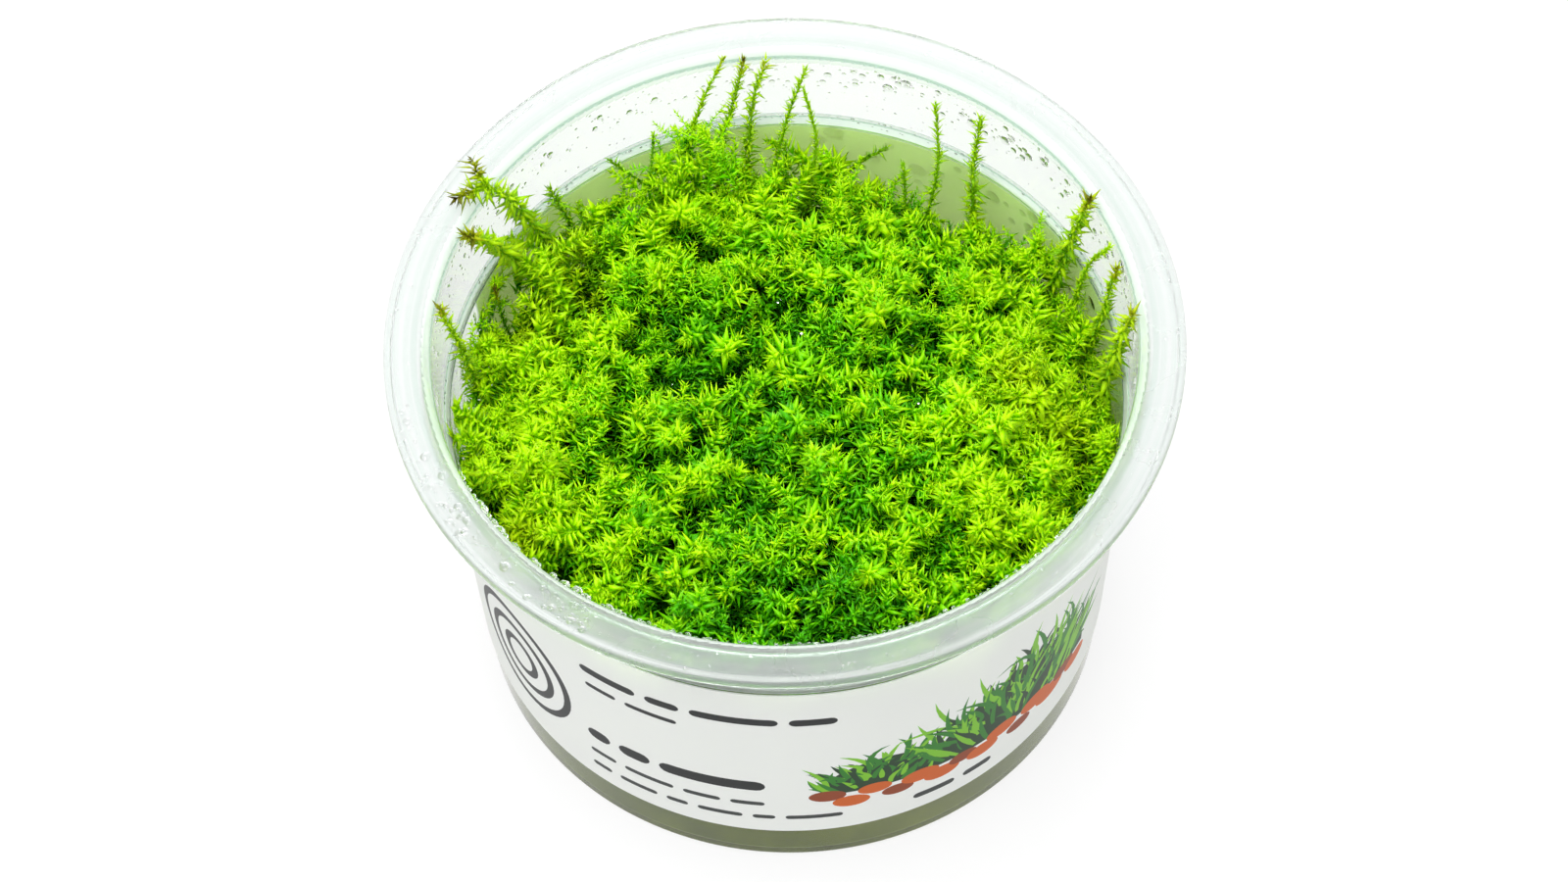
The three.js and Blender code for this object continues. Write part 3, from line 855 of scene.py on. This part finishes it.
main_way = unit(turned(lean, UP, level_way(lean_way)) + [0, 0.28, 0])
main_tip = at_moss_top(tuft_x, tuft_y, 1.0 + 2.2 * tuft_vigour)
main_long = rng.uniform(8.5, 11, TUFTS)
main_start = main_tip - main_way * main_long[:, None]
main_bend = main_start + main_way * (main_long * 0.5)[:, None] + rng.normal(0, 0.7, (TUFTS, 3))
finer_at_back = 1 - 0.36 * blend_step(-5, 22, tuft_y)
main_size = (2.55 + 0.4 * tuft_vigour.clip(-1.5, 2)) * finer_at_back
mains = grown(rng, main_start, main_bend, main_tip, main_size, MAIN_LEAVES, tuft_tint)

side_share = rng.uniform(0.15, 0.78, (TUFTS, SIDE_SHOOTS))
side_start, side_axis = curved(main_start, main_bend, main_tip, side_share)
side_start, side_axis = side_start.reshape(-1, 3), side_axis.reshape(-1, 3)
side_turn = (np.arange(SIDE_SHOOTS) * GOLDEN_ANGLE + rng.uniform(0, 6.28, (TUFTS, 1))).ravel()
across = unit(np.cross(side_axis, [0.3, 0.2, 0.1]))
side_out = turned(side_turn, across, np.cross(side_axis, across))
open_angle = np.radians(rng.uniform(35, 72, len(side_start)))
side_way = turned(open_angle, side_axis, side_out)
side_long = rng.uniform(3.4, 6.6, len(side_start))[:, None]
side_bend = side_start + side_way * side_long * 0.55
side_end = side_bend + unit(side_way + 0.6 * side_axis) * side_long * 0.5
side_size = rng.uniform(1.3, 2.5, len(side_start)) * np.repeat(finer_at_back, SIDE_SHOOTS)
side_tint = np.repeat(tuft_tint, SIDE_SHOOTS) + rng.normal(0, 0.2, len(side_start))
sides = grown(rng, side_start, side_bend, side_end, side_size, SIDE_LEAVES, side_tint)
sides[2]["from_tip"] += SIDE_SHADE

spray_x, spray_y = scattered(rng, SPRAYS, SPRAY_REACH)
spray_start = at_moss_top(spray_x, spray_y, -4)
spray_flat = level_way(rng.uniform(0, 2 * math.pi, SPRAYS))
spray_bend = spray_start + 2.2 * spray_flat + [0, 0, 5.5]
spray_end = spray_bend + spray_flat * rng.uniform(3, 6.5, SPRAYS)[:, None]
spray_end[:, 2] = moss_top(spray_end[:, 0], spray_end[:, 1]) + rng.uniform(2.0, 5.0, SPRAYS)
spray_size = rng.uniform(2.0, 3.1, SPRAYS)
spray_tint = rng.uniform(-0.5, 0.4, SPRAYS)
sprays = grown(rng, spray_start, spray_bend, spray_end, spray_size, SPRAY_LEAVES, spray_tint)

under_x, under_y = scattered(rng, UNDERGROWTH, CLUMP_RADIUS)
under_start = at_moss_top(under_x, under_y, -rng.uniform(4.0, 6.6, UNDERGROWTH))
under_bend = under_start + unit(rng.normal(0, 1, (UNDERGROWTH, 3)) + [0, 0, 1]) * 2
under_end = under_bend + unit(rng.normal(0, 1, (UNDERGROWTH, 3)) + [0, 0, 1.5]) * 2.4
under_size = rng.uniform(1.7, 2.3, UNDERGROWTH)
under_tint = rng.uniform(-0.2, 0.8, UNDERGROWTH)
undergrowth = grown(rng, under_start, under_bend, under_end, under_size, UNDER_LEAVES, under_tint)
undergrowth[2]["from_tip"] += SIDE_SHADE


def moss_values(points, values):
    """The values that colour the moss: how deep a point lies, which darkens it as painted shade, along its
    leaf, its tint, and how olive.
    """
    x, y, z = points.T
    reference = 0.65 * smooth_top(x, y) + 0.35 * moss_top(x, y)
    # Painted shade: the moss darkens with depth below its top.
    shade_below = np.clip((reference + OVER_TOP - z) / SHADE_DARK_AT, 0, 1)
    # Towards the wall the moss is lighter at its sides and its back, as painted light, and darker at its
    # front, as painted shade
    radius = np.hypot(x, y)
    off_front = np.maximum(np.abs(x), 0.8 * y) / np.maximum(radius, 1)
    lit_edge = blend_step(14, 38, radius) * (0.83 * off_front - 0.36)
    depth = SHADE_BELOW_SHARE * shade_below + TIP_SHARE * np.clip(values["from_tip"] / TIP_DARK_AT, 0, 1) - lit_edge
    dry = olive_share(x, y) * (0.6 + 0.6 * values["tint"])
    return {"depth": depth, "along": values["along"], "tint": values["tint"], "dry": dry}


grown_parts = [mains, sides, sprays, undergrowth]
points, faces = joined(grown_parts)
values = moss_values(points, joined_values(grown_parts))
order = np.argsort(points[faces[:, 0], 0], kind="stable")
for number, chosen in enumerate(np.array_split(faces[order], MOSS_PIECES)):
    used, renumbered = np.unique(chosen, return_inverse=True)
    add_piece(
        f"moss_tufts_{number + 1}",
        points[used],
        renumbered.reshape(-1, 3),
        moss_green,
        "moss",
        ["moss_clump"],
        {key: numbers[used] for key, numbers in values.items()},
    )

# Closed inside of the clump, dark green as painted shade
CORE_DROP = 6.2
CORE_INSET = 2.4
CORE_FOOT_INSET = 2.8
CORE_TURNS = 96
CORE_RINGS = 24
angle = np.linspace(0, 2 * math.pi, CORE_TURNS, endpoint=False)[:, None]
share = np.linspace(0, 1, CORE_RINGS)
radius = share * (CLUMP_RADIUS - CORE_INSET)
x, y = radius * np.cos(angle), radius * np.sin(angle)
wobble = rng.normal(0, 0.5, x.shape) * (share > 0)
z = moss_top(x, y) - CORE_DROP - 2.0 * share**6 + wobble
top = np.stack([x, y, z], -1)
low_radius = np.array([CLUMP_RADIUS - CORE_FOOT_INSET, 0.0])
low_height = np.full((CORE_TURNS, 2), CLUMP_BOTTOM + 0.2)
low = np.stack([low_radius * np.cos(angle), low_radius * np.sin(angle), low_height], -1)
core = add_piece(
    "moss_core",
    np.concatenate([top, low], 1).reshape(-1, 3),
    grid_faces(CORE_TURNS, CORE_RINGS + 2, close_rows=True),
    core_material(),
    "moss",
    ["moss_clump"],
)
weld(core)
core.data.shade_smooth()

# Shoots pressed against the wall where the label leaves it clear
WINDOW_SHOOTS = 110
window_angle = np.radians(rng.uniform(LABEL_GAP_START - 6, LABEL_GAP_END + 6, WINDOW_SHOOTS))
window_height = rng.uniform(CLUMP_BOTTOM + 1, 32, WINDOW_SHOOTS)
outward = level_way(window_angle)
sideways = np.cross(UP, outward)
start = outward * (inner_radius(window_height) - 3)[:, None] + UP * (window_height - 1)[:, None]
bend = start + UP * 2.5 + outward * 1.5
end = bend + UP * rng.uniform(1.5, 3.5, WINDOW_SHOOTS)[:, None]
end = end + sideways * rng.normal(0, 1.2, WINDOW_SHOOTS)[:, None]
window_size = rng.uniform(1.2, 1.7, WINDOW_SHOOTS)
window_tint = rng.uniform(0, 1, WINDOW_SHOOTS)
points, faces, values = grown(rng, start, bend, end, window_size, WINDOW_LEAVES, window_tint)
values = moss_values(points, values)
add_piece("moss_at_window", points, faces, moss_green, "moss", ["moss_clump"], values)


# Long shoots
def between(t, low, high, first, second):
    """The point at t on the line that passes the first point at low and the second at high."""
    return (high - t) / (high - low) * first + (t - low) / (high - low) * second


def through(path, steps_per_span=14):
    """A smooth curve through points, with spans eased by their length, as the solids' stems have."""
    path = np.array(path, float)
    before, after = 2 * path[0] - path[1], 2 * path[-1] - path[-2]
    path = np.concatenate([[before], path, [after]])
    curve = []
    for p0, p1, p2, p3 in zip(path, path[1:], path[2:], path[3:]):
        gaps = [np.linalg.norm(b - a) ** 0.5 for a, b in ((p0, p1), (p1, p2), (p2, p3))]
        t0, t1, t2, t3 = np.cumsum([0.0, *gaps])
        for t in np.linspace(t1, t2, steps_per_span, endpoint=False):
            a1 = between(t, t0, t1, p0, p1)
            a2 = between(t, t1, t2, p1, p2)
            a3 = between(t, t2, t3, p2, p3)
            b1 = between(t, t0, t2, a1, a2)
            b2 = between(t, t1, t3, a2, a3)
            curve.append(between(t, t1, t2, b1, b2))
    curve.append(path[-2])
    return np.array(curve)


# Leaf length, the angle that the leaves open to, how dry the tip is, and how dark the shoot is. The darkness
# of the short shoots that stand low among the others, such as 08, is painted shade.
USUAL_SHOOT = (1.1, 28, 0.1, 0.08)
SHOOT_LOOKS = {
    "01": (1.0, 26, 0.35, 0.06), "02": (1.25, 32, 0.6, 0.08), "03": (1.35, 36, 0.3, 0.06),
    "05": (0.95, 24, 0.0, 0.1), "06": (0.85, 22, 0.0, 0.45), "07": (0.9, 20, 0.05, 0.5),
    "08": (0.95, 22, 0.1, 0.5), "09": (1.9, 48, 0.75, 0.05), "10": (1.8, 46, 0.75, 0.1),
    "11": (0.9, 35, 0.8, 0.5), "12": (1.3, 32, 0.55, 0.1), "13": (1.6, 45, 0.1, 0.4),
    "14": (1.3, 40, 0.1, 0.45), "15": (1.1, 28, 0.1, 0.4), "16": (1.3, 36, 0.0, 0.35),
    "17": (1.05, 28, 0.0, 0.12), "18": (1.35, 34, 0.0, 0.1), "19": (1.7, 44, 0.7, 0.1),
    "20": (0.95, 28, 0.0, 0.05), "21": (1.3, 36, 0.55, 0.1), "22": (1.9, 50, 0.4, 0.06),
}
SHOOT_DENSITY = 9
SHOOT_RADIUS = 0.21
SHOOT_BREADTH = 0.22
SHOOT_RINGS = 16


def leafy_stem(rng, path, size, open_angle, dry, dark):
    """One long leafy shoot along a path, with its colour values."""
    curve = through(path)
    spans = np.linalg.norm(np.diff(curve, axis=0), axis=1)
    distance = np.concatenate([[0], np.cumsum(spans)])
    long = distance[-1]
    count = int(long * SHOOT_DENSITY)
    at = long - np.linspace(0, long, count)

    def at_leaves(rows):
        return np.stack([np.interp(at, distance, column) for column in rows.T], 1)[None]

    points = at_leaves(curve)
    axis = unit(at_leaves(unit(np.gradient(curve, axis=0))))
    from_tip = (long - at)[None]
    chord = curve[-1] - curve[0]
    across = unit(np.cross(chord, rng.normal(size=3)))[None]
    low_down = blend_step(6, 15, from_tip)
    full_grown = blend_step(0, 1.2, from_tip)
    length = size * (0.65 + 0.4 * full_grown + 0.2 * low_down) * rng.uniform(0.6, 1.35, from_tip.shape)
    spread = open_angle * (0.7 + 0.5 * full_grown) + 14 * low_down
    leaf = foliage(rng, points, axis, from_tip, across, length, spread, SHOOT_BREADTH)
    steps = np.linspace(0, len(curve) - 1, SHOOT_RINGS).astype(int)
    thick = SHOOT_RADIUS * (1.1 - 0.5 * distance[steps] / long)[None]
    stem = stems(curve[steps][None], across, thick)
    tips = per_point(from_tip, long - distance[steps])
    near_tip = 1 - blend_step(0.5, 4.5, tips)
    blotch = 0.5 + 0.5 * np.sin(tips * 2.3 + rng.uniform(0, 6.28))
    noise = per_point(rng.uniform(0, 1, count), np.full(SHOOT_RINGS, 0.8))
    # The depth value darkens the shoot by its darkness and towards its foot among the moss; this is partly
    # painted shade.
    values = {
        "depth": np.clip(dark + 0.3 * (noise - 0.5) + 0.2 * blend_step(4, 16, tips) - 0.05, 0, 1),
        "along": np.concatenate([np.tile(LEAF_ALONG, count), np.zeros(3 * SHOOT_RINGS)]),
        "tint": noise,
        "dry": dry * near_tip * (0.2 + 0.5 * blotch + 0.5 * noise),
    }
    return *joined([leaf, stem]), values


top_limit = solid_high.z / MM - 0.02
for name, path in LONG_SHOOTS.items():
    rng = np.random.default_rng(100 + int(name))
    looks = SHOOT_LOOKS.get(name, USUAL_SHOOT)
    parts = [leafy_stem(rng, path, *looks)]
    if name in FORKS:
        parts.append(leafy_stem(rng, FORKS[name], *looks))
    points, faces = joined(parts)
    points[:, 2] = np.minimum(points[:, 2], top_limit)
    below_brim = points[:, 2] < BRIM_TOP
    points[below_brim] = inside_cup(points[below_brim], 0.05)
    nodes = [f"shoot_{name}"]
    add_piece(f"leafy_shoot_{name}", points, faces, shoot_green, "long_shoot", nodes, joined_values(parts))


# Condensation
DROP_LEVELS = (1.0, 0.94, 0.75, 0.4)
DROP_STANDOFF = 0.02


def drops(centres, normals, radii, heights, segments=8, fullness=6):
    """Closed drops on a surface. Full ones have steep rims, and a fullness of 2 gives a flat lens."""
    helper = np.where(np.abs(normals[:, 2:]) > 0.9, [[1.0, 0, 0]], [[0, 0, 1.0]])
    first = unit(np.cross(normals, helper))
    second = np.cross(normals, first)
    turn = np.arange(segments) * 2 * math.pi / segments
    ring = turned(turn, first[:, None], second[:, None])
    levels = []
    for share in DROP_LEVELS:
        rise = 0.02 + 0.96 * (1 - share**fullness)
        level = centres[:, None] + ring * (radii * share)[:, None, None]
        levels.append(level + normals[:, None] * (heights * rise)[:, None, None])
    peak = centres + normals * heights[:, None]
    foot = centres + normals * 0.01
    points = np.concatenate([*levels, peak[:, None], foot[:, None]], 1)
    step = np.arange(segments)
    after = (step + 1) % segments
    last = (len(levels) - 1) * segments
    tip = len(levels) * segments
    cap = np.stack([last + step, last + after, np.full(segments, tip)], 1)
    under = np.stack([after, step, np.full(segments, tip + 1)], 1)
    one = np.concatenate([grid_faces(len(levels), segments, close_columns=True), cap, under])
    return points.reshape(-1, 3), copies(one, tip + 2, len(centres))


def wall_drops(rng, count, heights, radii, angles=(0, 360), flat=0.6, segments=7, fullness=6):
    """Drops on the inside of the wall, each range given as its two ends. Most are near the small end."""
    angle = np.radians(rng.uniform(*angles, count))
    height = rng.uniform(*heights, count)
    radius = mostly_small(rng, radii, 3, count)
    outward = level_way(angle)
    centres = outward * (inner_radius(height) - DROP_STANDOFF)[:, None]
    centres[:, 2] = height
    return drops(centres, -outward, radius, radius * flat, segments, fullness)


rng = np.random.default_rng(7)
sets = [
    wall_drops(rng, 900, (52.5, 58), (0.05, 0.24), flat=0.45),
    wall_drops(rng, 110, (53.2, 57.8), (0.2, 0.6), (-10, 190), 0.38, 10),
    wall_drops(rng, 40, (53.4, 57.6), (0.45, 0.95), (10, 95), 0.34, 14),
    wall_drops(rng, 200, (47.8, 53), (0.06, 0.2), flat=0.45),
    wall_drops(rng, 260, (46.9, 47.7), (0.1, 0.3), flat=0.6),
    wall_drops(rng, 30, (35, 46), (0.5, 1.5), (10, 112), 0.07, 16, 2),
    wall_drops(rng, 120, (27, 46), (0.08, 0.35), (158, 200), 0.35),
]
smooth(add_piece("wall_condensation", *joined(sets), water, "cup_plastic"), 60)


# Beads along the near inner edge of the brim, and drops on the flange
BEAD_CIRCLE = 44.3
BEAD_HEIGHTS = (58.7, 59.3)


def brim_beads(rng, count, angles, radii, segments):
    outward = level_way(np.radians(rng.uniform(*angles, count)))
    radius = mostly_small(rng, radii, 2, count)
    centres = outward * BEAD_CIRCLE + UP * rng.uniform(*BEAD_HEIGHTS, count)[:, None]
    return drops(centres, unit(0.6 * UP - outward), radius, radius * 0.95, segments)


def flange_drops(rng, count, angles, radii, distance, segments):
    angle = np.radians(rng.uniform(*angles, count))
    radius = rng.uniform(*distance, count)
    centres = level_way(angle) * radius[:, None] + UP * (BRIM_TOP + DROP_STANDOFF)
    size = mostly_small(rng, radii, 3, count)
    return drops(centres, np.broadcast_to(UP, centres.shape), size, size * 0.35, segments, 3)


sets = [
    brim_beads(rng, 260, (205, 326), (0.12, 0.34), 8),
    brim_beads(rng, 30, (204, 246), (0.35, 0.75), 12),
    flange_drops(rng, 260, (0, 360), (0.07, 0.3), (46.2, 49.4), 7),
    flange_drops(rng, 60, (190, 240), (0.25, 0.8), (46.2, 49.0), 14),
]
smooth(add_piece("brim_drops", *joined(sets), water, "cup_plastic"), 60)

# Small beads of water held by the moss
MOSS_BEADS = 130
x, y = scattered(rng, MOSS_BEADS, SPRAY_REACH)
centres = at_moss_top(x, y, rng.uniform(-0.5, 2.2, MOSS_BEADS))
size = mostly_small(rng, (0.08, 0.24), 2, MOSS_BEADS)
beads = drops(centres, unit(UP + rng.normal(0, 0.4, (MOSS_BEADS, 3))), size, size * 1.4)
smooth(add_piece("moss_beads", *beads, water, "moss"), 80)

# Floor, light and camera
FLOOR_HALF = 4.0
FLOOR_DROP = 0.0002
corners = [(x * FLOOR_HALF, y * FLOOR_HALF, 0) for x, y in ((-1, -1), (1, -1), (1, 1), (-1, 1))]
floor_mesh = bpy.data.meshes.new("floor")
floor_mesh.from_pydata(corners, [], [(0, 1, 2, 3)])
floor = bpy.data.objects.new("floor", floor_mesh)
floor.location.z = -FLOOR_DROP
bpy.context.scene.collection.objects.link(floor)
shader = Shader("floor")
tone = shader.ramp(shader.noise(2, 2), [(0.3, grey(0.13)), (0.7, grey(0.14))])
inputs = {
    "Base Color": tone,
    "Roughness": 0.9,
    "Specular IOR Level": 0.1,
    "Emission Color": (1, 1, 1, 1),
    "Emission Strength": 0.81,
}
floor_mesh.materials.append(shader.finish(inputs))
floor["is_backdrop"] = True

scene = bpy.context.scene
scene.cycles.max_bounces = 32
scene.cycles.transmission_bounces = 32
scene.cycles.glossy_bounces = 8
scene.cycles.diffuse_bounces = 6
world = bpy.data.worlds.new("studio")
world.use_nodes = True
scene.world = world
background = world.node_tree.nodes["Background"].inputs
background["Color"].default_value = (1, 1, 1, 1)
background["Strength"].default_value = 1.05
scene.view_settings.view_transform = "Standard"


def softbox(name, place, aim, width, power):
    light = bpy.data.lights.new(name, "AREA")
    light.shape = "DISK"
    light.size = width
    light.energy = power
    lamp = bpy.data.objects.new(name, light)
    lamp.location = place
    lamp.rotation_euler = (Vector(aim) - Vector(place)).to_track_quat("-Z", "Y").to_euler()
    scene.collection.objects.link(lamp)


softbox("key", (-0.15, -0.12, 0.93), (0, 0, 0.04), 0.7, 9)
softbox("rear", (0, 0.7, 0.35), (0, 0, 0.03), 0.6, 4)

CAMERA_PLACE = Vector((0, -0.342286, 0.564795))
CAMERA_AIM = Vector((-0.00048, -0.01575, 0.060))
CAMERA_ROLL = -2.05
CAMERA_LENS = 112.5
camera_data = bpy.data.cameras.new("camera")
camera_data.lens = CAMERA_LENS
camera_data.sensor_width = 36
camera = bpy.data.objects.new("camera", camera_data)
turn = (CAMERA_AIM - CAMERA_PLACE).to_track_quat("-Z", "Y").to_matrix().to_4x4()
roll = Matrix.Rotation(math.radians(CAMERA_ROLL), 4, "Z")
camera.matrix_world = Matrix.Translation(CAMERA_PLACE) @ turn @ roll
scene.collection.objects.link(camera)
scene.camera = camera

# Bounds of everything shown
bpy.context.view_layer.update()
low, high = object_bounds()
